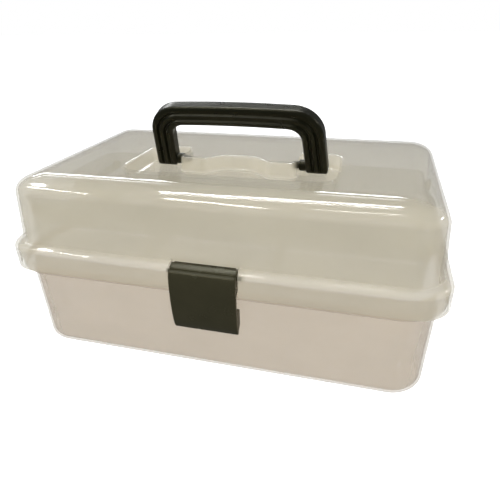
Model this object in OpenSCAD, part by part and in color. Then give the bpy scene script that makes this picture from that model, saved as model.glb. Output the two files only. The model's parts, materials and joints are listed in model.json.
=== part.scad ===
// Clear plastic sewing box with a deep lid, a folding handle, a front latch and two
// cantilever trays. Arms at both ends lift the trays forward as the lid opens.
// Origin: middle of the underside. X runs along the length, Y to the rear, Z up.

/* [Box] */
// Length over the rim flange
box_l = 330; // [326:0.5:334]
// Depth over the rim flange
box_d = 201.6; // [200:0.4:204]
// Height to the top of the lid
box_h = 145.5; // [144.5:0.5:147]
// Height of the line where base and lid part
part_z = 78; // [77:0.5:79]
// Thickness of the clear moulded walls
wall = 1.8; // [1.5:0.1:2]
// How far the rim flange stands out from the base wall
flange_out = 6.4; // [6:0.1:7]
// Corner radius of the base in plan
base_r = 27; // [24:1:29]
// Corner radius of the lid in plan
lid_r = 22; // [20:1:24]

/* [Lid dome] */
// Height at which the rounded shoulder of the lid starts
shoulder_z = 132; // [131:0.5:133]
// How far the shoulder runs inward
shoulder_in = 16.7; // [15:0.1:18]
// Depth of the handle recess below the top
recess_deep = 11.7; // [11.4:0.1:11.8]
// Half length of the handle recess
recess_hx = 82; // [80:0.5:84]
// Front edge of the handle recess
recess_front = -53.5; // [-56:0.5:-53]
// Rear edge of the two pockets behind the handle's legs
recess_rear = 18; // [16:0.5:20]
// Half width of the block that carries the handle
block_hx = 48; // [47.5:0.1:48.5]
// Front edge of that block
block_front = -14; // [-15:0.5:-13]
// Depth of the finger scallop in the block's front edge
scallop_deep = 13; // [11:0.5:14]

/* [Handle] */
// Half width over the feet
handle_foot_hx = 72.2; // [70:0.2:74]
// Half width over the grip
handle_top_hx = 69.4; // [68:0.2:70]
// Height of the grip's top above the pivot
handle_h = 50.5; // [48:0.5:51]
// Height of the grip itself
grip_h = 15.9; // [14:0.1:17]
// Width of a leg
leg_w = 17.6; // [16:0.1:18.4]
// Thickness front to back
handle_t = 12; // [11:0.2:12]
// Forward lean of the handle as it stands
handle_lean = 20; // [0:1:30]
// Height of the handle's pivot
handle_pivot_z = 140.5; // [140.2:0.1:141]

/* [Latch] */
// Width of the latch
latch_w = 49; // [44:1:52]
// Underside of the latch
latch_low_z = 42.5; // [42:0.5:44]
// Pivot of the latch, front to back
latch_pivot_y = -98; // [-98.2:0.1:-97.8]
// Height of the latch's pivot
latch_pivot_z = 88.4; // [88:0.1:88.8]
// Radius of the latch pin
latch_pin_r = 1.5; // [1.2:0.1:1.6]

/* [Hinge] */
// Hinge axis, front to back
hinge_y = 104.5; // [104.5:0.1:105]
// Radius of the hinge knuckles
knuckle_r = 3.4; // [3:0.1:3.4]
// Radius of the hinge pins
hinge_pin_r = 1.25; // [1:0.05:1.5]
// Middle of each hinge, left and right of centre
hinge_x = 95; // [80:1:110]

/* [Trays] */
// Length of a tray
tray_l = 292.4; // [280:0.4:292.4]
// Front edge of the closed trays
tray_front = -86; // [-86:0.5:-84]
// Rear edge of the closed trays
tray_rear = 44; // [36:1:50]
// Underside of the lower tray
lower_z = 84.6; // [84.4:0.1:84.8]
// Underside of the upper tray
upper_z = 107.6; // [107.5:0.1:107.8]
// Height of a tray
tray_h = 21.6; // [20:0.4:22]
// Thickness of tray walls, floors and dividers
tray_wall = 1.4; // [1.2:0.1:1.6]

/* [Tray arms] */
// Height of the arms' pivots on the base
arm_pivot_z = 76; // [75:0.5:76]
// Front arm's pivot on the base
front_pivot_y = -8; // [-10:1:-6]
// Rear arm's pivot on the base
rear_pivot_y = 50; // [48:1:52]
// Distance from base pivot to the lower tray's pivot
lower_reach = 32; // [30:1:34]
// Distance from base pivot to the upper tray's pivot
upper_reach = 72; // [70:1:74]
// Slope of the arms when the box is closed
arm_slope = 31; // [30:1:32]
// Distance from the rear base pivot to the lid link's pivot
link_reach = 52; // [51:1:54]
// Direction of the lid link's pivot when the box is closed
link_slope = 38; // [37:1:39]
// Radius of the snap studs at every pivot
stud_r = 2; // [1.5:0.1:2.2]

/* [Hidden] */
$fn = 64;

clear_colour = [0.84, 0.83, 0.80, 0.45];
dark_colour = [0.17, 0.17, 0.13];

run_gap = 0.05;          // radial clearance of everything that turns on a pin
part_gap = 0.3;          // between the lid's lower edge and the base flange
half_l = box_l / 2;
half_d = box_d / 2;
base_hx = half_l - flange_out;
base_hy = half_d - flange_out;
base_draft = 2;          // how much smaller the base is at its foot
foot_r = 9;              // rounded lower edge of the base
floor_t = 2;
flange_z = 71;           // lower edge of the base flange
upstand_z = 84;          // lip of the base inside the lid's skirt
lid_draft = 2.5;
skirt_top_z = 94.4;
lid_foot_z = part_z + part_gap;
recess_floor_z = box_h - recess_deep;
leg_inner_hx = handle_foot_hx - leg_w - 0.9;

// ---- plan shapes ----
module rounded_rect(hx, hy, r) {
    square([2 * (hx - r), 2 * hy], center = true);
    square([2 * hx, 2 * (hy - r)], center = true);
    for (sx = [-1, 1], sy = [-1, 1])
        translate([sx * (hx - r), sy * (hy - r)]) circle(r);
}

// A solid whose plan is a rounded rectangle and whose edge follows a side view given as
// [inset, height] points from the bottom up. The corners keep their axes all the way.
module swept(hx, hy, r, side_view) {
    low = side_view[0][1];
    high = side_view[len(side_view) - 1][1];
    function reach(half) = concat([[0, low]], [for (p = side_view) [half - p[0], p[1]]],
        [[0, high]]);
    for (turn = [0, 90]) rotate(turn) {
        across = turn == 0 ? hy : hx;
        along = turn == 0 ? hx - r : hy - r;
        rotate([90, 0, 90]) translate([0, 0, -along]) linear_extrude(2 * along) {
            polygon(reach(across));
            mirror([1, 0]) polygon(reach(across));
        }
    }
    for (sx = [0, 1], sy = [0, 1]) mirror([sx, 0, 0]) mirror([0, sy, 0])
        translate([hx - r, hy - r, 0]) rotate_extrude(angle = 90) polygon(reach(r));
}

// A flat bar with round ends between two points, in the plane it is drawn in.
module bar(p, q, r) {
    d = q - p;
    translate(p) circle(r);
    translate(q) circle(r);
    translate(p) rotate(atan2(d[1], d[0])) translate([0, -r]) square([norm(d), 2 * r]);
}

// Turns a drawing of Y and Z into a plate standing across X, from x to x + t.
module plate_x(x, t) {
    translate([x, 0, 0]) rotate([90, 0, 90]) linear_extrude(t) children();
}

// A round bar along X through the point [y, z].
module rod_x(x0, x1, r, y, z) {
    translate([x0, y, z]) rotate([0, 90, 0]) cylinder(h = x1 - x0, r = r);
}

// Draws its children on the right end, or mirrored on the left one.
module on_side(side) {
    if (side < 0) mirror([1, 0, 0]) children();
    else children();
}

// ---- walls ----
arc_steps = 4;           // facets across each rounded edge

module tub_solid(inset, low_z, high_z) {
    edge_r = foot_r - inset;
    swept(base_hx - inset, base_hy - inset, base_r - inset, concat(
        [for (i = [0:arc_steps]) let (a = 90 * i / arc_steps)
            [base_draft + edge_r * (1 - sin(a)), low_z + edge_r * (1 - cos(a))]],
        [[0, flange_z], [0, high_z]]));
}

module dome_solid(inset, low_z) {
    rise = box_h - inset - shoulder_z;
    swept(base_hx + 0.2 - inset, base_hy + 0.2 - inset, lid_r - inset, concat([[0, low_z]],
        [for (i = [0:arc_steps]) let (a = 90 * i / arc_steps)
            [lid_draft + (shoulder_in - inset) * (1 - cos(a)), shoulder_z + rise * sin(a)]]));
}

module skirt_solid(inset, low_z, cap_z) {
    swept(half_l - inset, half_d - inset, 25 - inset, [[0, low_z], [0, cap_z - 5],
        [1.1, cap_z - 2.4], [3.6, cap_z - 0.7], [6, cap_z]]);
}

// ---- base ----
module hinge_block(x0, x1, y0, z0, z1) {
    translate([x0, y0, z0]) cube([x1 - x0, hinge_y - y0, z1 - z0]);
}

module base_knuckles() {
    for (side = [-1, 1], span = [[-20.8, -10.5], [10.5, 20.8]]) {
        x0 = side * hinge_x + span[0];
        x1 = side * hinge_x + span[1];
        rod_x(x0, x1, knuckle_r, hinge_y, part_z);
        hinge_block(x0, x1, half_d - 2.6, flange_z + 1.5, part_z - 0.4);
    }
}

module base_tub() {
    lip_t = 1.7;
    boss_r = 5.2;
    color(clear_colour) difference() {
        union() {
            difference() {
                union() {
                    tub_solid(0, 0, upstand_z);
                    swept(half_l - 0.5, half_d - 0.5, 25, [[3.2, flange_z],
                        [1.2, flange_z + 1.2], [0, flange_z + 3.4], [0, part_z]]);
                }
                tub_solid(wall, floor_t, upstand_z + 1);
                translate([0, 0, flange_z - 1]) linear_extrude(part_z - wall - flange_z + 1)
                    difference() {
                        rounded_rect(half_l - 0.5 - lip_t, half_d - 0.5 - lip_t, 25 - lip_t);
                        rounded_rect(base_hx + 0.01, base_hy + 0.01, base_r);
                    }
            }
            base_knuckles();
            for (side = [-1, 1], y = [front_pivot_y, rear_pivot_y])
                on_side(side) rod_x(base_boss_x, base_hx - 0.6, boss_r, y, arm_pivot_z);
        }
        for (side = [-1, 1]) {
            rod_x(side * hinge_x - 30, side * hinge_x + 30, hinge_pin_r + run_gap,
                hinge_y, part_z);
            for (y = [front_pivot_y, rear_pivot_y])
                on_side(side) rod_x(base_boss_x - 1, base_stud_end + run_gap,
                    stud_r + run_gap, y, arm_pivot_z);
        }
    }
}

module hinge_pin(side) {
    head_r = 2.2;
    head_t = 0.9;
    color(clear_colour) {
        rod_x(side * hinge_x - 20.8, side * hinge_x + 20.8, hinge_pin_r, hinge_y, part_z);
        on_side(side) rod_x(hinge_x + 20.8 + run_gap, hinge_x + 20.8 + head_t, head_r,
            hinge_y, part_z);
        on_side(side) rod_x(hinge_x + 20.7, hinge_x + 21.2, hinge_pin_r, hinge_y, part_z);
    }
}

// ---- places of the arms, links and studs along X, from the middle outward ----
tray_hx = tray_l / 2;
tray_boss_end = tray_hx + 2.2;
stud_head_t = 0.8;
stud_head_r = 4;
arm_x = tray_boss_end + 0.2;
arm_t = 2.2;
arm_hw = 5;
base_boss_x = arm_x + arm_t + 0.2;
base_stud_end = base_boss_x + 4.6;
link_x = arm_x + arm_t + 1.2;
link_t = 1.8;
link_hw = 4;
lid_boss_x = link_x + link_t + 0.2;
lid_stud_end = lid_boss_x + 2.1;

// Point at a reach and slope forward and up from a pivot.
function ahead(p, reach, slope) = p + reach * [-cos(slope), sin(slope)];
front_pivot = [front_pivot_y, arm_pivot_z];
rear_pivot = [rear_pivot_y, arm_pivot_z];
link_pivot = ahead(rear_pivot, link_reach, link_slope);
lid_pivot = ahead([hinge_y, part_z], link_reach, link_slope);
function tray_pivot(p, reach) = ahead(p, reach, arm_slope);

module stud(x0, x1, p, inner_head, outer_head) {
    rod_x(x0, x1, stud_r, p[0], p[1]);
    if (inner_head) rod_x(x0 - stud_head_t, x0, stud_head_r, p[0], p[1]);
    if (outer_head) rod_x(x1, x1 + stud_head_t, stud_head_r, p[0], p[1]);
}

module base_studs() {
    color(clear_colour) for (side = [-1, 1], p = [front_pivot, rear_pivot])
        on_side(side) stud(arm_x - 0.1, base_stud_end, p, true, false);
}

// ---- lid ----
module block_plan(grow) {
    hx = block_hx + grow;
    front = block_front - grow;
    scallop_r = 30 - grow;
    difference() {
        union() {
            translate([-hx, front + 5]) square([2 * hx, 60]);
            translate([-hx + 5, front]) square([2 * hx - 10, 10]);
            for (s = [-1, 1]) translate([s * (hx - 5), front + 5]) circle(5);
        }
        translate([0, block_front + scallop_deep - 30]) circle(scallop_r);
    }
}

module recess_plan(grow) {
    mid_y = (recess_front + recess_rear) / 2;
    half_y = (recess_rear - recess_front) / 2 + grow;
    difference() {
        translate([0, mid_y]) rounded_rect(recess_hx + grow, half_y, 16 + grow);
        block_plan(-grow);
    }
}

// The latch sits in a pocket of the lid's skirt; its two ends carry the latch pin.
pocket_hx = latch_w / 2 + 0.8;
pocket_back = -91.8;
pocket_top_z = 95.5;

module pocket_frame() {
    ear_t = 2.2;
    back = pocket_back + wall;
    plate_x(-pocket_hx - ear_t, 2 * (pocket_hx + ear_t)) polygon([
        [-half_d + 0.6, lid_foot_z], [-half_d + 0.6, 89.2], [-99.4, 91.8], [-97, 93.3],
        [-94, 94], [-94, pocket_top_z + wall], [back, pocket_top_z + wall],
        [back, upstand_z + 0.6], [-95.2, upstand_z + 0.6], [-95.2, lid_foot_z]]);
}

module pocket_cut() {
    translate([-pocket_hx, -half_d - 2, lid_foot_z - 1])
        cube([2 * pocket_hx, half_d + 2 + pocket_back, pocket_top_z - lid_foot_z + 1]);
}

module lid_knuckles() {
    for (side = [-1, 1]) {
        x0 = side * hinge_x - 10;
        x1 = side * hinge_x + 10;
        rod_x(x0, x1, knuckle_r, hinge_y, part_z);
        hinge_block(x0, x1, half_d - 1.3, part_z + 0.6, part_z + 6);
    }
}

module lid() {
    boss_r = 5;
    color(clear_colour) difference() {
        union() {
            difference() {
                union() {
                    dome_solid(0, skirt_top_z - 2);
                    skirt_solid(0, lid_foot_z, skirt_top_z);
                }
                dome_solid(wall, skirt_top_z - 3);
                skirt_solid(wall, lid_foot_z - 0.1, skirt_top_z - wall);
            }
            translate([0, 0, recess_floor_z - wall])
                linear_extrude(recess_deep + wall - 0.05) recess_plan(wall);
            pocket_frame();
            lid_knuckles();
            for (side = [-1, 1]) on_side(side)
                rod_x(lid_boss_x, lid_boss_x + 2.8, boss_r, lid_pivot[0], lid_pivot[1]);
        }
        translate([0, 0, recess_floor_z]) linear_extrude(recess_deep + 1) recess_plan(0);
        pocket_cut();
        for (side = [-1, 1]) on_side(side) {
            rod_x(0, latch_w, latch_pin_r + run_gap, latch_pivot_y, latch_pivot_z);
            rod_x(block_hx - 4, block_hx + 2, handle_pin_r + run_gap, 0, handle_pivot_z);
            rod_x(hinge_x - 30, hinge_x + 30, hinge_pin_r + run_gap, hinge_y, part_z);
            rod_x(lid_boss_x - 1, lid_stud_end + run_gap, stud_r + run_gap,
                lid_pivot[0], lid_pivot[1]);
        }
    }
}

module lid_studs() {
    color(clear_colour) for (side = [-1, 1])
        on_side(side) stud(link_x - 0.1, lid_stud_end, lid_pivot, true, false);
}

module latch_pin() {
    color(dark_colour) rod_x(-latch_w / 2 - 2.8, latch_w / 2 + 2.8, latch_pin_r,
        latch_pivot_y, latch_pivot_z);
}

// ---- handle ----
handle_pin_r = 3;

module arch_plan() {
    outer_r = 24;
    inner_r = 11;
    foot_r = 3;
    drop = handle_t / 2;
    difference() {
        hull() for (s = [-1, 1]) {
            translate([s * (handle_top_hx - outer_r), handle_h - outer_r]) circle(outer_r);
            translate([s * (handle_foot_hx - foot_r), -drop + foot_r]) circle(foot_r);
        }
        hull() for (s = [-1, 1]) {
            translate([s * (leg_inner_hx - 1.4 - inner_r), handle_h - grip_h - inner_r])
                circle(inner_r);
            translate([s * (leg_inner_hx + 0.9), -drop - 2]) circle(0.5);
        }
    }
}

module handle_upright() {
    boss_r = 4.5;
    tip_h = 1.4;
    intersection() {
        translate([0, handle_t / 2, 0]) rotate([90, 0, 0]) linear_extrude(handle_t) arch_plan();
        plate_x(-handle_foot_hx - 1, 2 * handle_foot_hx + 2) union() {
            circle(handle_t / 2);
            translate([-handle_t / 2, 0]) square([handle_t, handle_h + 1]);
        }
    }
    for (side = [-1, 1]) on_side(side) {
        rod_x(block_hx + 1, leg_inner_hx + 4, boss_r, 0, 0);
        rod_x(block_hx - 3.8, block_hx + 2, handle_pin_r, 0, 0);
        translate([block_hx - 3.8, 0, 0]) rotate([0, -90, 0])
            cylinder(h = tip_h, r1 = handle_pin_r, r2 = handle_pin_r - 1);
    }
}

module handle() {
    color(dark_colour) translate([0, 0, handle_pivot_z]) rotate([handle_lean, 0, 0])
        handle_upright();
}

// ---- latch ----
// Side view of the latch: its face from the ledge at the top to the lower edge.
latch_face = [[-95.8, 93.7], [-100.4, 91.7], [-101.2, 90.5], [-103, 89.8], [-104.6, 87.6],
              [-105.2, 83], [-105.2, 72], [-104.8, 62], [-103.6, 51.5], [-101.6, 44.4],
              [-99.8, latch_low_z]];

module latch() {
    skin_t = 2.2;
    cheek_t = 2;
    hw = latch_w / 2;
    hook_hw = 15;
    color(dark_colour) difference() {
        union() {
            plate_x(-hw, latch_w) polygon(concat(latch_face,
                [for (i = [len(latch_face) - 1:-1:1]) latch_face[i] + [skin_t, i < 4 ? -skin_t : 0]],
                [[-95.8, 91.5]]));
            for (x = [-hw, hw - cheek_t]) plate_x(x, cheek_t) polygon(concat(latch_face,
                [[-98.9, latch_low_z + 0.3], [-98.5, 45.7], [-97.2, 47.1], [-94.7, 48.6],
                 [-94.7, 61], [-99.4, 62.4], [-101.4, 64.6], [-101.4, 78.8], [-95.8, 80.4]]));
            plate_x(-hook_hw, 2 * hook_hw) polygon([[-104, 64], [-104, 69.9], [-98, 69.9],
                [-98, 69], [-102.4, 64]]);
            for (x = [-hw + 0.5, hw - 4.5]) rod_x(x, x + 4, 3.2, latch_pivot_y, latch_pivot_z);
        }
        rod_x(-hw - 1, hw + 1, latch_pin_r + run_gap, latch_pivot_y, latch_pivot_z);
    }
}

// ---- arms and links ----
module arm_plan(p) {
    bar(p, tray_pivot(p, upper_reach), arm_hw);
}

module rear_arm_plan() {
    p = rear_pivot;
    arm_plan(p);
    bar(tray_pivot(p, lower_reach), link_pivot, arm_hw);
    bar(link_pivot, tray_pivot(p, upper_reach - 14), arm_hw - 1);
}

module arm_bores(p) {
    for (q = [p, tray_pivot(p, lower_reach), tray_pivot(p, upper_reach)])
        rod_x(arm_x - 1, arm_x + arm_t + 1, stud_r + run_gap, q[0], q[1]);
}

module front_arm(side) {
    color(clear_colour) on_side(side) difference() {
        plate_x(arm_x, arm_t) arm_plan(front_pivot);
        arm_bores(front_pivot);
    }
}

module rear_arm(side) {
    color(clear_colour) on_side(side) difference() {
        union() {
            plate_x(arm_x, arm_t) rear_arm_plan();
            rod_x(arm_x + arm_t - 0.5, link_x - 0.1, 3.4, link_pivot[0], link_pivot[1]);
        }
        arm_bores(rear_pivot);
        rod_x(arm_x - 1, link_x + 1, stud_r + run_gap, link_pivot[0], link_pivot[1]);
    }
}

module arm_link_studs() {
    color(clear_colour) for (side = [-1, 1])
        on_side(side) stud(arm_x - 0.1, link_x + link_t + 0.1, link_pivot, true, true);
}

module lid_link(side) {
    color(clear_colour) on_side(side) difference() {
        plate_x(link_x, link_t) bar(link_pivot, lid_pivot, link_hw);
        for (q = [link_pivot, lid_pivot])
            rod_x(link_x - 1, link_x + link_t + 1, stud_r + run_gap, q[0], q[1]);
    }
}

// ---- trays ----
tray_mid_y = (tray_front + tray_rear) / 2;
tray_hy = (tray_rear - tray_front) / 2;
row_hy = (tray_hy - 1.5 * tray_wall) / 2;             // half the depth of a row
function row_mid(row) = tray_mid_y + row * (row_hy + tray_wall / 2);
row_dividers = 2;        // loose dividers in each row
cell_pitch = (2 * tray_hx - 2 * tray_wall) / (row_dividers + 1);
divider_gap = 0.15;      // a loose divider's play in its slot

module tray(z, reach) {
    tray_r = 9;
    rim = 1.1;
    color(clear_colour) difference() {
        union() {
            translate([0, tray_mid_y, z]) difference() {
                union() {
                    linear_extrude(tray_h) rounded_rect(tray_hx, tray_hy, tray_r);
                    translate([0, 0, tray_h - 2]) linear_extrude(2)
                        rounded_rect(tray_hx + rim, tray_hy + rim, tray_r + rim);
                }
                translate([0, 0, tray_wall]) linear_extrude(tray_h)
                    rounded_rect(tray_hx - tray_wall, tray_hy - tray_wall, tray_r - tray_wall);
            }
            translate([-tray_hx + 0.5, tray_mid_y - tray_wall / 2, z + 0.5])
                cube([2 * tray_hx - 1, tray_wall, tray_h - 3]);
            for (row = [-1, 1], column = [-1, 1]) divider_slot(row, column, z);
            for (side = [-1, 1], p = [front_pivot, rear_pivot]) on_side(side)
                rod_x(tray_hx - 3, tray_boss_end, 4.6, tray_pivot(p, reach)[0],
                    tray_pivot(p, reach)[1]);
        }
        for (side = [-1, 1], p = [front_pivot, rear_pivot]) on_side(side)
            rod_x(tray_hx - 4, tray_boss_end + 1, stud_r + run_gap,
                tray_pivot(p, reach)[0], tray_pivot(p, reach)[1]);
    }
}

// Two pairs of small ribs that hold a loose divider.
module divider_slot(row, column, z) {
    rib = 1.2;
    for (edge = [-1, 1], s = [-1, 1])
        translate([column * cell_pitch / 2 + s * (tray_wall / 2 + divider_gap + rib / 2),
                   row_mid(row) + edge * (row_hy - rib / 2 + 0.1), z + tray_h / 2 - 1])
            cube([rib, rib + 0.2, tray_h - 4], center = true);
}

module divider(row, column, z) {
    color(clear_colour)
        translate([column * cell_pitch / 2, row_mid(row), z + tray_wall + tray_h / 2 - 1.6])
            cube([tray_wall, 2 * (row_hy - divider_gap), tray_h - 4], center = true);
}

module tray_studs(reach) {
    color(clear_colour) for (side = [-1, 1], p = [front_pivot, rear_pivot])
        on_side(side) stud(tray_hx - 3, arm_x + arm_t + 0.1, tray_pivot(p, reach), false, true);
}

base_tub();
hinge_pin(-1);  // hinge_pin_left
hinge_pin(1);  // hinge_pin_right
base_studs();
lid();
latch_pin();
lid_studs();
handle();
latch();
front_arm(-1);  // front_arm_left
front_arm(1);  // front_arm_right
rear_arm(-1);  // rear_arm_left
rear_arm(1);  // rear_arm_right
arm_link_studs();
lid_link(-1);  // lid_link_left
lid_link(1);  // lid_link_right
tray(lower_z, lower_reach);  // lower_tray
tray_studs(lower_reach);  // lower_tray_studs
divider(-1, -1, lower_z);  // lower_divider_front_left
divider(-1, 1, lower_z);  // lower_divider_front_right
divider(1, -1, lower_z);  // lower_divider_rear_left
divider(1, 1, lower_z);  // lower_divider_rear_right
tray(upper_z, upper_reach);  // upper_tray
tray_studs(upper_reach);  // upper_tray_studs
divider(-1, -1, upper_z);  // upper_divider_front_left
divider(-1, 1, upper_z);  // upper_divider_front_right
divider(1, -1, upper_z);  // upper_divider_rear_left
divider(1, 1, upper_z);  // upper_divider_rear_right
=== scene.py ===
"""The looks of a clear sewing box with a folding handle, a latch and two lifting trays.

Shapes are built in millimetres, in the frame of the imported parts, and turned into metres
as each mesh is made.
"""
import json
import math
import bmesh
import bpy
from mathutils import Matrix, Vector
from mathutils.geometry import tessellate_polygon


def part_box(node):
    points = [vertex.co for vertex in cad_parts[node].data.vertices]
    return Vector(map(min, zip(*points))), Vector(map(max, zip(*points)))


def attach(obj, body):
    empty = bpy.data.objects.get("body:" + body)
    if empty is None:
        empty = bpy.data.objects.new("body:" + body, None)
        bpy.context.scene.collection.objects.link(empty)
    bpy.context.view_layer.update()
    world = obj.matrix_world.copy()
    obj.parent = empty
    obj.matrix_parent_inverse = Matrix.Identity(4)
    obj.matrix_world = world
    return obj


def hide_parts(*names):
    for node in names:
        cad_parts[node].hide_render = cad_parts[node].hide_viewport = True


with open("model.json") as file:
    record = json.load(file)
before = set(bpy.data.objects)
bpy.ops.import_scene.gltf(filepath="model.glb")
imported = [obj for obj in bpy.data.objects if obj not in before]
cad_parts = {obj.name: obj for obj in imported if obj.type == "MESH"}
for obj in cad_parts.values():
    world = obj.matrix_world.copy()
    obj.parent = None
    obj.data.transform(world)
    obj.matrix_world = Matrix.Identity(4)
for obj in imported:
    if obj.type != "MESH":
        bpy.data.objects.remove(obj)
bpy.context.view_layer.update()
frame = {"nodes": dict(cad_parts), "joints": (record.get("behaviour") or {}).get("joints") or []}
MM = 0.001
joints = {j["name"]: Vector(j["pos_m"]) / MM for j in frame["joints"]}


def node_box(node):
    """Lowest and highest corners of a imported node, in millimetres."""
    low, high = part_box(node)
    return low / MM, high / MM


# ---- driving sizes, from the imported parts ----
lid_low, lid_high = node_box("lid")
base_high = node_box("base_tub")[1]
HALF_L = lid_high.x
HALF_D = -lid_low.y
LID_FOOT = lid_low.z
LID_TOP = lid_high.z
UPSTAND_TOP = base_high.z
HINGE = joints["lid_hinge"]
PART_Z = HINGE.z
WALL = 1.8
RIM_OUT = 6.4                   # the lid's edge stands this far out from the base wall
BASE_HX = HALF_L - RIM_OUT
BASE_HY = HALF_D - RIM_OUT
BASE_R = 27
DOME_HX = BASE_HX + 0.2
DOME_HY = BASE_HY + 0.2
DOME_R = 22
CORNER_STEPS = 12


# ---- mesh building ----
class Shell:
    """The closed surfaces of one piece, given in millimetres."""

    def __init__(self):
        self.bm = bmesh.new()

    def ring(self, points):
        return [self.bm.verts.new(Vector(p) * MM) for p in points]

    def bridge(self, low, high):
        count = len(low)
        for i in range(count):
            k = (i + 1) % count
            self.bm.faces.new((low[i], low[k], high[k], high[i]))

    def cap(self, ring):
        self.bm.faces.new(ring)

    def loft(self, outlines, cap_ends=True):
        """Skins the outlines in order and returns their rings of vertices."""
        rings = [self.ring(points) for points in outlines]
        for low, high in zip(rings, rings[1:]):
            self.bridge(low, high)
        if cap_ends:
            self.cap(rings[0])
            self.cap(rings[-1])
        return rings

    def plate(self, outer, inner):
        """Fills the flat area between an outer ring and an inner one."""
        verts = outer + inner
        flat = [[v.co.to_2d().to_3d() for v in outer], [v.co.to_2d().to_3d() for v in inner]]
        for triangle in tessellate_polygon(flat):
            self.bm.faces.new([verts[i] for i in triangle])


def finish_piece(name, shell, body, material, replaced, sharp=38):
    """Turns a shell into a named piece that rides on a body and stands for CAD nodes."""
    bm = shell.bm
    bmesh.ops.recalc_face_normals(bm, faces=bm.faces)
    for face in bm.faces:
        face.smooth = True
    for edge in bm.edges:
        if len(edge.link_faces) == 2 and edge.calc_face_angle() > math.radians(sharp):
            edge.smooth = False
    mesh = bpy.data.meshes.new(name)
    bm.to_mesh(mesh)
    bm.free()
    mesh.materials.append(material)
    piece = bpy.data.objects.new(name, mesh)
    bpy.context.scene.collection.objects.link(piece)
    weighted = piece.modifiers.new("even_normals", "WEIGHTED_NORMAL")
    weighted.keep_sharp = True
    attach(piece, body)
    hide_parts(*replaced)
    return piece


def arc(start, end, steps):
    """Angles in radians from start to end, given in degrees."""
    return [math.radians(start + (end - start) * i / steps) for i in range(steps + 1)]


def spread(low, high, count):
    return [low + (high - low) * i / (count - 1) for i in range(count)]


SIDE_COLUMNS = spread(-125, 125, 9)


def rect_ring(hx, hy, r, z, columns=SIDE_COLUMNS, steps=CORNER_STEPS):
    """Round a rounded rectangle from the front left, anticlockwise seen from above."""
    points = [(x, -hy) for x in columns]
    ax, ay = hx - r, hy - r
    depth = [s * ay for s in (-0.5, 0, 0.5)]
    points += [(ax + r * math.sin(a), -ay - r * math.cos(a)) for a in arc(0, 90, steps)]
    points += [(hx, y) for y in depth]
    points += [(ax + r * math.cos(a), ay + r * math.sin(a)) for a in arc(0, 90, steps)]
    points += [(x, hy) for x in reversed(columns)]
    points += [(-ax - r * math.sin(a), ay + r * math.cos(a)) for a in arc(0, 90, steps)]
    points += [(-hx, y) for y in reversed(depth)]
    points += [(-ax - r * math.cos(a), -ay - r * math.sin(a)) for a in arc(0, 90, steps)]
    return [Vector((x, y, z)) for x, y in points]


def rounded_path(corners, steps=8):
    """A closed outline through [x, y, radius] corners, each turned into an arc."""
    points = []
    count = len(corners)
    for i in range(count):
        here = Vector(corners[i][:2])
        back = (Vector(corners[i - 1][:2]) - here).normalized()
        ahead = (Vector(corners[(i + 1) % count][:2]) - here).normalized()
        half = back.angle(ahead) / 2
        r = corners[i][2]
        centre = here + (back + ahead).normalized() * r / math.sin(half)
        first = here + back * r / math.tan(half) - centre
        last = here + ahead * r / math.tan(half) - centre
        turn = math.atan2(first.x * last.y - first.y * last.x, first.dot(last))
        for k in range(steps + 1):
            points.append(centre + Matrix.Rotation(turn * k / steps, 2) @ first)
    return points


def shrink(points, inset):
    """Moves an anticlockwise outline inward."""
    moved = []
    for i, p in enumerate(points):
        along = (points[(i + 1) % len(points)] - points[i - 1]).normalized()
        moved.append(p + Vector((-along.y, along.x)) * inset)
    return moved


def at_height(points, z):
    return [Vector((p.x, p.y, z)) for p in points]


def rounded_block(shell, low, high, r, corner=3):
    """A block with rounded edges, between two corners."""
    middle = (Vector(low) + Vector(high)) / 2
    half = (Vector(high) - Vector(low)) / 2
    outlines = []
    sides = [(a, -1) for a in arc(0, 90, corner)] + [(a, 1) for a in arc(90, 0, corner)]
    for a, end in sides:
        inset = r * (1 - math.sin(a)) * 0.99
        z = middle.z + end * (half.z - r + r * math.cos(a))
        ring = rect_ring(half.x - inset, half.y - inset, r - inset, z, columns=[0], steps=corner)
        outlines.append([p + Vector((middle.x, middle.y, 0)) for p in ring])
    shell.loft(outlines)


def turned(shell, side_view, y, z, around=32):
    """A solid turned about a line along X through y, z, from [x, radius] points."""
    outlines = []
    for x, r in side_view:
        outlines.append([Vector((x, y + r * math.cos(a), z + r * math.sin(a)))
                         for a in arc(0, 360 - 360 / around, around - 1)])
    shell.loft(outlines)


def softened_rod(shell, x0, x1, r, y, z, edge=0.4):
    turned(shell, [(x0, r - edge), (x0 + edge * 0.3, r - edge * 0.3), (x0 + edge, r),
                   (x1 - edge, r), (x1 - edge * 0.3, r - edge * 0.3), (x1, r - edge)], y, z)


# ---- materials ----
def add_node(nt, kind, **inputs):
    node = nt.nodes.new(kind)
    for name, value in inputs.items():
        node.inputs[name.replace("_", " ")].default_value = value
    return node


def stretched_noise(nt, coords, stretch, scale, detail):
    """Noise in the object's own coordinates, drawn out along some axes."""
    mapping = nt.nodes.new("ShaderNodeMapping")
    mapping.inputs["Scale"].default_value = stretch
    nt.links.new(coords.outputs["Object"], mapping.inputs["Vector"])
    noise = add_node(nt, "ShaderNodeTexNoise", Scale=scale, Detail=detail, Roughness=0.55)
    nt.links.new(mapping.outputs["Vector"], noise.inputs["Vector"])
    return noise.outputs["Fac"]


def tinted(nt, factor, dark, light):
    ramp = nt.nodes.new("ShaderNodeValToRGB")
    ramp.color_ramp.elements[0].position = 0.3
    ramp.color_ramp.elements[1].position = 0.7
    ramp.color_ramp.elements[0].color = (*dark, 1)
    ramp.color_ramp.elements[1].color = (*light, 1)
    nt.links.new(factor, ramp.inputs["Fac"])
    return ramp.outputs["Color"]


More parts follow.
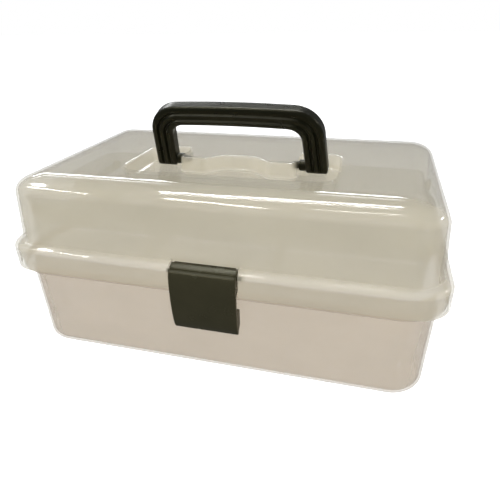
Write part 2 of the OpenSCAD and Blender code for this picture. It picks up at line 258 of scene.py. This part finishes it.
def ranged(nt, factor, low, high):
    spread_out = add_node(nt, "ShaderNodeMapRange", From_Min=0.3, From_Max=0.7,
                          To_Min=low, To_Max=high)
    nt.links.new(factor, spread_out.inputs["Value"])
    return spread_out.outputs["Result"]


def bumped(nt, factor, strength, distance, under=None):
    bump = add_node(nt, "ShaderNodeBump", Strength=strength, Distance=distance)
    nt.links.new(factor, bump.inputs["Height"])
    if under:
        nt.links.new(under, bump.inputs["Normal"])
    return bump.outputs["Normal"]


def clear_plastic(name, tint, alpha):
    """Translucent moulded plastic: cloudy tint, slow waves from the mould, fine scuffs."""
    material = bpy.data.materials.new(name)
    material.use_nodes = True
    nt = material.node_tree
    shader = nt.nodes["Principled BSDF"]
    coords = nt.nodes.new("ShaderNodeTexCoord")
    clouds = stretched_noise(nt, coords, (1, 1, 1.6), 14, 4)
    flow = stretched_noise(nt, coords, (0.6, 1.5, 3), 22, 2)
    scuffs = stretched_noise(nt, coords, (1, 2.5, 2.5), 420, 3)
    dark = [c * 0.955 for c in tint]
    light = [min(1, c * 1.045) for c in tint]
    nt.links.new(tinted(nt, clouds, dark, light), shader.inputs["Base Color"])
    nt.links.new(ranged(nt, scuffs, 0.035, 0.06), shader.inputs["Roughness"])
    waves = bumped(nt, flow, 0.05, 0.00025)
    nt.links.new(bumped(nt, scuffs, 0.05, 0.0001, waves), shader.inputs["Normal"])
    shader.inputs["IOR"].default_value = 1.49
    shader.inputs["Coat Weight"].default_value = 1
    shader.inputs["Coat Roughness"].default_value = 0.02
    shader.inputs["Alpha"].default_value = alpha
    return material


def dark_plastic(name, dark, light, rough, specular):
    """Solid moulded plastic with a satin gloss and a fine grain."""
    material = bpy.data.materials.new(name)
    material.use_nodes = True
    nt = material.node_tree
    shader = nt.nodes["Principled BSDF"]
    coords = nt.nodes.new("ShaderNodeTexCoord")
    clouds = stretched_noise(nt, coords, (1, 1, 1), 60, 4)
    grain = stretched_noise(nt, coords, (1, 1, 1), 1500, 2)
    wear = stretched_noise(nt, coords, (1, 1, 1), 90, 3)
    nt.links.new(tinted(nt, clouds, dark, light), shader.inputs["Base Color"])
    nt.links.new(ranged(nt, wear, *rough), shader.inputs["Roughness"])
    nt.links.new(bumped(nt, grain, 0.06, 0.00003), shader.inputs["Normal"])
    shader.inputs["IOR"].default_value = 1.5
    shader.inputs["Specular IOR Level"].default_value = specular
    shader.inputs["Specular Tint"].default_value = (1, 0.95, 0.68, 1)
    return material


CLEAR_BASE = clear_plastic("clear_base", (0.655, 0.562, 0.445), 0.44)
CLEAR_LID = clear_plastic("clear_lid", (0.672, 0.636, 0.526), 0.44)
CLEAR_TRAY = clear_plastic("clear_tray", (0.7, 0.66, 0.555), 0.28)
CLEAR_FITTINGS = clear_plastic("clear_fittings", (0.66, 0.62, 0.52), 0.35)
DARK_HANDLE = dark_plastic("dark_handle", (0.004, 0.0043, 0.002), (0.006, 0.0064, 0.003),
                           (0.27, 0.33), 0.25)
DARK_LATCH = dark_plastic("dark_latch", (0.04, 0.0375, 0.0215), (0.046, 0.043, 0.025),
                          (0.24, 0.28), 0.16)


# ---- base ----
def base_outline(out, z):
    """A ring of the base whose wall stands out mm from the wall's foot line."""
    return rect_ring(BASE_HX + out, BASE_HY + out, BASE_R + out, z)


def knuckle(shell, x0, x1, y0, z0, z1):
    """A hinge barrel with the block that joins it to the rim."""
    radius = 3.4
    softened_rod(shell, x0, x1, radius, HINGE.y, HINGE.z)
    rounded_block(shell, (x0 + 0.2, y0, z0), (x1 - 0.2, HINGE.y + 1, z1), 0.8)


HINGE_X = (node_box("hinge_pin_right")[0].x + node_box("hinge_pin_right")[1].x) / 2 - 0.45


def make_base():
    draft, foot_r, flange_z = 2, 9, 71
    floor = 2
    outer = [base_outline(-draft - foot_r * (1 - math.sin(a)), foot_r * (1 - math.cos(a)))
             for a in arc(0, 90, 8)]
    outer += [base_outline(-1, 40), base_outline(0, 70), base_outline(0, PART_Z - 3)]
    channel = PART_Z - WALL
    lip = 5.9
    rim = [(0.3, channel - 0.4), (1, channel), (lip - 2.6, channel), (lip - 2, channel - 0.3),
           (lip - 1.7, channel - 1), (lip - 1.7, flange_z + 1.5), (lip - 1.5, flange_z + 1.05),
           (lip - 1.15, flange_z + 1), (lip - 0.7, flange_z + 1.4), (lip - 0.3, flange_z + 2.1),
           (lip - 0.05, flange_z + 3), (lip, flange_z + 4), (lip, PART_Z - 0.7),
           (lip - 0.15, PART_Z - 0.3), (lip - 0.6, PART_Z), (0.7, PART_Z), (0.2, PART_Z + 0.2),
           (0, PART_Z + 0.7), (0, UPSTAND_TOP - 0.6), (-0.2, UPSTAND_TOP - 0.15),
           (-0.6, UPSTAND_TOP), (-WALL + 0.6, UPSTAND_TOP), (-WALL + 0.2, UPSTAND_TOP - 0.15),
           (-WALL, UPSTAND_TOP - 0.6), (-WALL, 70), (-WALL - 1, 40)]
    inner_r = foot_r - WALL
    inner = [base_outline(-WALL - draft - inner_r * (1 - math.sin(a)),
                          floor + inner_r * (1 - math.cos(a))) for a in arc(90, 0, 8)]
    shell = Shell()
    shell.loft(outer + [base_outline(*point) for point in rim] + inner)
    for side in (-1, 1):
        for span in ((-20.8, -10.5), (10.5, 20.8)):
            knuckle(shell, side * HINGE_X + span[0], side * HINGE_X + span[1],
                    HALF_D - 2.4, flange_z + 1.6, PART_Z - 0.4)
        for joint in ("front_arm_swing", "rear_arm_swing"):
            pivot = joints[joint]
            ends = sorted((side * (BASE_HX - 1), side * 151))
            softened_rod(shell, *ends, 5.2, pivot.y, pivot.z)
    return finish_piece("base_shell", shell, "base", CLEAR_BASE, ["base_tub"])


# ---- lid ----
SKIRT_TOP = 94.4
SHOULDER_Z = 132
LID_DRAFT = 2.5
CREASE_IN = 19.2
TOP_R = 8                       # smallest corner radius of the dome's rings
RECESS_DEPTH = 11.7
POCKET_HX = 25.3
POCKET_BACK = -91.8
FRONT_SIDE_Y = -80              # ring points ahead of this belong to the front
POCKET_LOW = UPSTAND_TOP + 0.6
POCKET_TOP = 95.5
EAR = 2.2
POCKET_EDGES = [POCKET_HX - 0.05, POCKET_HX + 0.05, POCKET_HX + 0.5, POCKET_HX + EAR - 0.05,
                POCKET_HX + EAR + 0.05]
LID_COLUMNS = sorted([-x for x in POCKET_EDGES] + POCKET_EDGES
                     + [0, -12, 12, -40, 40, -70, 70, -100, 100, -125, 125])


def with_pocket(points, top, half_width, back, limit):
    """Pushes the front of a ring back to the latch pocket, where the ring is below it."""
    if points[0].z > limit:
        return points
    share = (points[0].z - LID_FOOT) / (limit - LID_FOOT)
    moved = []
    for p in points:
        if p.y < FRONT_SIDE_Y and abs(p.x) < half_width:
            p = Vector((p.x, back, POCKET_LOW + share * (top - POCKET_LOW)))
        moved.append(p)
    return moved


def lid_skin(inset):
    """Rings of one skin of the lid from its foot to the edge of the flat top."""
    rings = []

    def skirt(more, z):
        total = inset + more
        rings.append(rect_ring(HALF_L - total, HALF_D - total, 25 - total, z, LID_COLUMNS))

    def dome(more, z):
        total = inset + more
        corner = max(DOME_R - total, TOP_R)
        rings.append(rect_ring(DOME_HX - total, DOME_HY - total, corner, z, LID_COLUMNS))

    crown_in, crown_up = 6.2, 5
    edge = 0.5 if inset == 0 else 0.3
    crown_z = SKIRT_TOP - crown_up - inset
    skirt(edge, LID_FOOT)
    skirt(edge * 0.3, LID_FOOT + edge * 0.3)
    skirt(0, LID_FOOT + edge)
    for a in arc(0, 82, 8):
        skirt(crown_in * (1 - math.cos(a)), crown_z + crown_up * math.sin(a))
    dome(-0.25, SKIRT_TOP - inset + 0.15)
    dome(-0.05, SKIRT_TOP - inset + 0.5)
    dome(0, SKIRT_TOP - inset + 1)
    for z in (96.2 - inset / 3, 97.8, 110, 121):
        dome(LID_DRAFT * (z - SKIRT_TOP) / (SHOULDER_Z - SKIRT_TOP), z)
    shoulder_in = CREASE_IN - 1.2 - LID_DRAFT - inset
    top = LID_TOP - inset
    blend_drop, blend_run = 0.9, 6.6
    rise = top - blend_drop - SHOULDER_Z
    steepest = 74
    last = math.radians(steepest)
    for a in arc(0, steepest, 12):
        dome(LID_DRAFT + shoulder_in * (1 - math.cos(a)) / (1 - math.cos(last)),
             SHOULDER_Z + rise * math.sin(a) / math.sin(last))
    for s in spread(0.125, 1, 8):
        dome(CREASE_IN - 1.2 - inset + blend_run * s, top - blend_drop * (1 - s) ** 2.2)
    return rings


def recess_outline():
    """The U-shaped hollow round the block that carries the handle."""
    hx, front, rear = 82, -53.5, 18
    block, block_front, scallop = 48, -14, -1
    return rounded_path([
        (-hx, front, 16), (hx, front, 16), (hx, rear, 12), (block, rear, 6),
        (block, block_front, 5), (26, block_front, 9), (13, scallop, 16), (-13, scallop, 16),
        (-26, block_front, 9), (-block, block_front, 5), (-block, rear, 6), (-hx, rear, 12)])


def make_lid():
    shell = Shell()
    outer = [with_pocket(r, POCKET_TOP, POCKET_HX, POCKET_BACK, POCKET_TOP)
             for r in lid_skin(0)]
    inner = [with_pocket(r, POCKET_TOP + WALL, POCKET_HX + EAR, POCKET_BACK + WALL, 97)
             for r in lid_skin(WALL)]
    rings = shell.loft(list(reversed(outer)) + inner, cap_ends=False)
    outline = recess_outline()
    side_views = (
        (rings[0], LID_TOP, [(-1.3, 0), (-0.8, -0.1), (-0.3, -0.45), (0, -1.2), (0.5, -9.2),
                             (0.9, -10.5), (1.7, -11.4), (2.8, -RECESS_DEPTH)]),
        (rings[-1], LID_TOP - WALL, [(-2.9, 0), (-2.3, -0.15), (-1.9, -0.6), (-1.8, -1.2),
                                     (-1.3, -9.8), (-0.8, -11), (0.4, -11.6),
                                     (1.6, -RECESS_DEPTH)]))
    for edge, top, side_view in side_views:
        walls = shell.loft([at_height(shrink(outline, inset), top + drop)
                            for inset, drop in side_view], cap_ends=False)
        shell.plate(edge, walls[0])
        shell.cap(walls[-1])
    for side in (-1, 1):
        knuckle(shell, side * HINGE_X - 10, side * HINGE_X + 10, HALF_D - 1.2, PART_Z + 0.7,
                PART_Z + 6)
        pivot = link_ends()[1]
        ends = sorted((side * 154, side * 156.9))
        softened_rod(shell, *ends, 5, pivot.y, pivot.z)
    return finish_piece("lid_shell", shell, "lid", CLEAR_LID, ["lid"])


def link_ends():
    """The lid link's two pivots."""
    low = joints["lid_link_level"]
    return low, low + HINGE - joints["rear_arm_swing"]


# ---- handle ----
HANDLE_T = 12
HANDLE_LEAN = 20                # degrees forward of upright, at rest
FOOT_DROP = HANDLE_T / 2


def handle_stations():
    """Outer and inner edge points [x, height] of the bar, foot to grip middle."""
    foot_out, foot_in = 72.2, 54.6
    top_out, top_in = 69.4, 52.3
    height, grip = 50.5, 15.9
    outer_r, inner_r = 24, 11
    corner = 4.5
    stations = []
    for a in arc(80, 0, 7):
        h = -FOOT_DROP + corner * (1 - math.sin(a))
        cut = corner * (1 - math.cos(a))
        stations.append((Vector((foot_out - cut, h)), Vector((foot_in + cut, h))))
    legs = 9
    for i in range(1, legs):
        s = i / legs
        low = corner - FOOT_DROP
        stations.append((
            Vector((foot_out, low)).lerp(Vector((top_out, height - outer_r)), s),
            Vector((foot_in, low)).lerp(Vector((top_in, height - grip - inner_r)), s)))
    for a in arc(0, 90, 16):
        stations.append((
            Vector((top_out - outer_r * (1 - math.cos(a)), height - outer_r * (1 - math.sin(a)))),
            Vector((top_in - inner_r * (1 - math.cos(a)),
                    height - grip - inner_r * (1 - math.sin(a))))))
    bow = 0.9
    outer_x, inner_x = top_out - outer_r, top_in - inner_r
    for i in range(1, 9):
        s = 1 - i / 8
        rise = bow * (1 - s * s)
        stations.append((Vector((outer_x * s, height + rise)),
                         Vector((inner_x * s, height - grip + rise * 0.8))))
    return stations


def half_thickness(h):
    if h >= 0:
        return HANDLE_T / 2
    return math.sqrt(max(0.8, (HANDLE_T / 2) ** 2 - h * h))


def handle_section(outer, inner, groove):
    """Points round the bar at one station: two grooves run along its front."""
    along = outer - inner
    width = along.length
    across = along / width
    points = []
    edge = 2.6

    def add(u, v):
        place = inner + across * u
        limit = half_thickness(place.y)
        v = max(-limit, min(limit, v))
        points.append(Vector((place.x, v, place.y)))

    half = HANDLE_T / 2
    flat = [edge + (width - 2 * edge) * i / 44 for i in range(45)]
    for u in flat:
        dip = 0
        for centre in (0.34, 0.66):
            off = abs(u - centre * width) / 1.35
            if off < 1:
                dip += 2 * groove * (1 - off * off)
        bulge = 0.25 * (1 - (2 * u / width - 1) ** 2)
        add(u, -half + 0.25 - bulge + dip)
    for a in arc(0, 90, 4)[1:]:
        add(width - edge + edge * math.sin(a), -half + 0.25 + edge * (1 - math.cos(a)))
    for a in arc(90, 0, 4):
        add(width - edge + edge * math.sin(a), half - edge * (1 - math.cos(a)))
    for u in (width * 0.6, width * 0.4):
        add(u, half)
    for a in arc(0, 90, 4):
        add(edge - edge * math.sin(a), half - edge * (1 - math.cos(a)))
    for a in arc(90, 0, 4)[:-1]:
        add(edge - edge * math.sin(a), -half + 0.25 + edge * (1 - math.cos(a)))
    return points


def make_handle():
    shell = Shell()
    half = []
    for outer, inner in handle_stations():
        height = (outer.y + inner.y) / 2
        groove = max(0, min(1, (height + 2.5) / 2.5))
        half.append(handle_section(outer, inner, groove ** 0.5))
    other_half = [[Vector((-p.x, p.y, p.z)) for p in ring] for ring in half[:-1]]
    shell.loft(half + other_half[::-1])
    boss = [(49, 3.6), (49.3, 4.2), (50, 4.5), (58, 4.5), (58.4, 4.1)]
    pin = [(42.8, 1.9), (44.2, 2.9), (44.6, 3), (51, 3)]
    for side in (-1, 1):
        for view in (boss, pin):
            turned(shell, [(side * x, r) for x, r in view], 0, 0)
    lean = Matrix.Rotation(math.radians(HANDLE_LEAN), 4, "X")
    place = Matrix.Translation(joints["handle_fold"] * MM)
    bmesh.ops.transform(shell.bm, matrix=place @ lean, verts=shell.bm.verts)
    return finish_piece("handle_grip", shell, "handle", DARK_HANDLE, ["handle"])


# ---- latch ----
def latch_stations():
    """Side view of the latch from its top ledge down: face, cheek back, both [y, z]."""
    face = [(-96.1, 94.1), (-96.8, 93.95), (-98, 93.5), (-100, 92.65), (-100.6, 92.3),
            (-100.9, 91.8), (-101, 91.3), (-101.3, 90.95), (-102.6, 90.4), (-103.2, 90.1),
            (-103.6, 89.6), (-103.85, 88.9), (-104.3, 87.4), (-104.7, 85.4), (-105, 82.6),
            (-105.2, 79.2), (-105.2, 75), (-105.1, 70), (-104.95, 66), (-104.8, 64.2),
            (-104.7, 62.6), (-104.55, 61.3), (-104.2, 57.6), (-103.7, 53.2), (-103.0, 48.9),
            (-102.1, 45.6), (-101.0, 43.2), (-100.3, 42.55)]
    backs = []
    for y, z in face:
        if z > 80.4:
            back = -95.8
        elif z > 78.8:
            back = -97.5
        elif z > 64.5:
            back = -101.4
        elif z > 62.4:
            back = -99.6
        elif z > 48.8:
            back = -94.8
        elif z > 45.4:
            back = -97.6
        else:
            back = -99
        backs.append(back)
    return list(zip(face, backs))


def latch_section(y, z, back, hw):
    """The latch cut level: a front skin with a cheek at each end."""
    skin, cheek, r = 2.2, 2, 1.3
    front_in = y + skin
    back = max(back, y + 0.9)
    inner_back = max(back, front_in + 0.05)
    points = []
    for x in spread(-hw + r, hw - r, 9):
        points.append((x, y))
    for a in arc(0, 90, 4)[1:]:
        points.append((hw - r + r * math.sin(a), y + r * (1 - math.cos(a))))
    points += [(hw, max(back - 0.4, y + r)), (hw - 0.3, back), (hw - cheek + 0.3, back),
               (hw - cheek, max(inner_back - 0.4, front_in + 0.02))]
    points.append((hw - cheek, front_in + 0.01))
    for x in spread(hw - cheek - 0.6, -hw + cheek + 0.6, 7):
        points.append((x, front_in))
    points.append((-hw + cheek, front_in + 0.01))
    points += [(-hw + cheek, max(inner_back - 0.4, front_in + 0.02)), (-hw + cheek - 0.3, back),
               (-hw + 0.3, back), (-hw, max(back - 0.4, y + r))]
    for a in arc(90, 0, 4)[:-1]:
        points.append((-hw + r - r * math.sin(a), y + r * (1 - math.cos(a))))
    return [Vector((px, py, z)) for px, py in points]


def make_latch():
    low, high = node_box("latch")
    hw = (high.x - low.x) / 2
    shell = Shell()
    shell.loft([latch_section(y, z, back, hw) for (y, z), back in latch_stations()])
    hook_hx = 15
    rounded_block(shell, (-hook_hx, -104.2, 64.2), (hook_hx, -98.1, 69.8), 0.9)
    pivot = joints["latch_swing"]
    for x in (-hw + 0.5, hw - 4.5):
        softened_rod(shell, x, x + 4, 3.2, pivot.y, pivot.z)
    return finish_piece("latch_plate", shell, "latch", DARK_LATCH, ["latch"])


# ---- trays ----
TRAY_WALL = 1.4


def make_tray(name, level_joint):
    low, high = node_box(name)
    hx = (high.x - low.x) / 2 - 2.2
    mid_y = (high.y + low.y) / 2
    hy = (high.y - low.y) / 2 - 1.1
    z0, z1 = low.z, high.z
    r = 9

    def outline(out, z):
        ring = rect_ring(hx + out, hy + out, r + out, z)
        return [p + Vector((0, mid_y, 0)) for p in ring]

    foot = 2.5
    outer = [outline(-foot * (1 - math.sin(a)), z0 + foot * (1 - math.cos(a)))
             for a in arc(0, 90, 5)]
    rim = [(0, z1 - 2.6), (0.2, z1 - 2.15), (0.7, z1 - 2), (1, z1 - 1.7), (1.1, z1 - 0.5),
           (0.9, z1 - 0.1), (0.5, z1), (-1, z1), (-1.3, z1 - 0.15), (-TRAY_WALL, z1 - 0.5)]
    inner_r = foot - 0.6
    inner = [outline(-TRAY_WALL - inner_r * (1 - math.sin(a)),
                     z0 + TRAY_WALL + inner_r * (1 - math.cos(a))) for a in arc(90, 0, 5)]
    shell = Shell()
    shell.loft(outer + [outline(*point) for point in rim] + inner)
    rounded_block(shell, (-hx + 0.9, mid_y - TRAY_WALL / 2, z0 + 0.6),
                  (hx - 0.9, mid_y + TRAY_WALL / 2, z1 - 2.5), 0.5)
    slots(shell, name, mid_y, hy, z0, z1)
    pivot = joints[level_joint]
    forward = joints["front_arm_swing"] - joints["rear_arm_swing"]
    for side in (-1, 1):
        for place in (pivot, pivot + forward):
            ends = sorted((side * (hx - 0.8), side * (hx + 2.2)))
            softened_rod(shell, *ends, 4.6, place.y, place.z)
    return finish_piece(name + "_shell", shell, name, CLEAR_TRAY, [name])


def slots(shell, tray, mid_y, hy, z0, z1):
    """Pairs of small ribs that hold the loose dividers."""
    level = tray.split("_")[0]
    for row in ("front", "rear"):
        for side in ("left", "right"):
            low, high = node_box(f"{level}_divider_{row}_{side}")
            x = (low.x + high.x) / 2
            for end in (low.y - 0.2, high.y - 1.15):
                for step in (-1, 1):
                    left = x + step * (TRAY_WALL / 2 + 0.75) - 0.6
                    rounded_block(shell, (left, end, z0 + 1), (left + 1.2, end + 1.35, z1 - 2.4),
                                  0.4, corner=2)


def make_dividers():
    """Loose dividers as blocks with rounded edges and corners."""
    for level in ("lower", "upper"):
        for row in ("front", "rear"):
            for side in ("left", "right"):
                node = f"{level}_divider_{row}_{side}"
                low, high = node_box(node)
                shell = Shell()
                rounded_block(shell, low, high, 0.6)
                finish_piece(node + "_plate", shell, f"{level}_tray", CLEAR_TRAY,
                             [node])


def dress_cad_nodes():
    """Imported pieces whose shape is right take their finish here."""
    for name, node in frame["nodes"].items():
        if node.hide_render:
            continue
        dark = name == "latch_pin"
        node.data.materials.clear()
        node.data.materials.append(DARK_LATCH if dark else CLEAR_FITTINGS)


# ---- floor, light and camera ----
def soft_lamp(name, place, aim, size, power, colour):
    """A soft rectangular lamp at place, pointing at aim, both in metres."""
    lamp = bpy.data.lights.new(name, "AREA")
    lamp.use_shadow = False
    lamp.shape = "RECTANGLE"
    lamp.size, lamp.size_y = size
    lamp.energy = power
    lamp.color = colour
    holder = bpy.data.objects.new(name, lamp)
    bpy.context.scene.collection.objects.link(holder)
    holder.location = place
    holder.rotation_euler = (Vector(aim) - Vector(place)).to_track_quat("-Z", "Y").to_euler()
    return holder


SHINING = bpy.data.collections.new("shining")


def mirrored(name, place, aim, size, brightness, colour):
    """A lamp that shows only as its reflection in glossy surfaces."""
    power = brightness * math.pi * size[0] * size[1]
    holder = soft_lamp(name, place, aim, size, power, colour)
    holder.visible_diffuse = False
    holder.visible_transmission = False
    holder.light_linking.receiver_collection = SHINING


def make_light():
    scene = bpy.context.scene
    scene.view_settings.view_transform = "Standard"
    scene.cycles.transparent_max_bounces = 64
    world = bpy.data.worlds.new("studio")
    scene.world = world
    world.use_nodes = True
    nt = world.node_tree
    nt.nodes.clear()
    out = nt.nodes.new("ShaderNodeOutputWorld")
    mix = nt.nodes.new("ShaderNodeMixShader")
    path = nt.nodes.new("ShaderNodeLightPath")
    seen = add_node(nt, "ShaderNodeBackground", Color=(1, 1, 1, 1), Strength=1.0)
    lit = add_node(nt, "ShaderNodeBackground", Color=(0.98, 0.99, 1, 1), Strength=0.25)
    nt.links.new(path.outputs["Is Camera Ray"], mix.inputs[0])
    nt.links.new(lit.outputs[0], mix.inputs[1])
    nt.links.new(seen.outputs[0], mix.inputs[2])
    nt.links.new(mix.outputs[0], out.inputs["Surface"])
    warm = (1, 0.98, 0.93)
    cool = (0.96, 0.98, 1)
    skylight = (0.86, 0.93, 1)
    aim = (0, -0.09, LID_TOP * MM)
    mirrored("line_strip", (-0.127, 0.218, 0.99), aim, (0.68, 0.05), 70, cool)
    mirrored("left_strip", (-0.86, -0.09, 1.05), aim, (0.16, 0.04), 70, cool)
    mirrored("low_strip", (-0.30, -0.482, 0.956), aim, (0.33, 0.04), 60, warm)
    mirrored("skirt_left_strip", (-0.80, -0.482, 0.956), aim, (0.31, 0.024), 55, warm)
    mirrored("skirt_right_strip", (0.08, -0.245, 1.01), aim, (0.24, 0.026), 26, warm)
    mirrored("corner_strip", (1.19, 0.33, 0.79), aim, (0.14, 0.06), 60, warm)
    mirrored("corner_glint", (1.19, 0.401, 0.744), aim, (0.1, 0.05), 60, warm)
    mirrored("crease_strip", (-0.39, 0.847, 0.722), aim, (1.31, 0.16), 12, cool)
    for name, place, power, colour in (("front_lamp", (-0.1, -1.3, 0.8), 11, warm),
                                       ("top_lamp", (0.1, 0.1, 1.5), 3, skylight),
                                       ("left_lamp", (-1.4, -0.1, 0.5), 7, warm),
                                       ("right_lamp", (1.4, -0.1, 0.5), 7, warm)):
        lamp = soft_lamp(name, place, aim, (1, 1), power, colour)
        lamp.visible_glossy = False


def make_floor():
    mesh = bpy.data.meshes.new("studio_floor")
    size = 6
    mesh.from_pydata([(-size, -size, 0), (size, -size, 0), (size, size, 0), (-size, size, 0)],
                     [], [(0, 1, 2, 3)])
    floor = bpy.data.objects.new("studio_floor", mesh)
    floor.location.z = -0.2 * MM
    bpy.context.scene.collection.objects.link(floor)
    material = bpy.data.materials.new("studio_floor")
    material.use_nodes = True
    shader = material.node_tree.nodes["Principled BSDF"]
    shader.inputs["Base Color"].default_value = (0.92, 0.92, 0.91, 1)
    shader.inputs["Roughness"].default_value = 0.9
    shader.inputs["Specular IOR Level"].default_value = 0.1
    shader.inputs["Emission Color"].default_value = (1, 1, 1, 1)
    shader.inputs["Emission Strength"].default_value = 1
    mesh.materials.append(material)
    floor.visible_glossy = False
    floor.visible_diffuse = False


def make_camera():
    """A camera right of the middle, looking down and to the left, nearly level."""
    yaw, pitch, roll = -0.26967, 0.47370, 0.01982
    forward = Vector((math.sin(yaw) * math.cos(pitch), math.cos(yaw) * math.cos(pitch),
                      -math.sin(pitch)))
    right = Vector((math.cos(yaw), -math.sin(yaw), 0))
    down = forward.cross(right)
    x_axis = math.cos(roll) * right + math.sin(roll) * down
    y_axis = math.sin(roll) * right - math.cos(roll) * down
    camera = bpy.data.cameras.new("camera")
    camera.sensor_width = 36
    camera.lens = 33.353
    place = Vector((0.10557, -0.35753, 0.24950))
    holder = bpy.data.objects.new("camera", camera)
    holder.matrix_world = Matrix((
        (x_axis.x, y_axis.x, -forward.x, place.x),
        (x_axis.y, y_axis.y, -forward.y, place.y),
        (x_axis.z, y_axis.z, -forward.z, place.z),
        (0, 0, 0, 1)))
    bpy.context.scene.collection.objects.link(holder)
    bpy.context.scene.camera = holder


make_camera()
make_light()
make_floor()
make_base()
for piece in (make_lid(), make_handle(), make_latch()):
    SHINING.objects.link(piece)
make_tray("lower_tray", "lower_tray_level")
make_tray("upper_tray", "upper_tray_level")
make_dividers()
dress_cad_nodes()
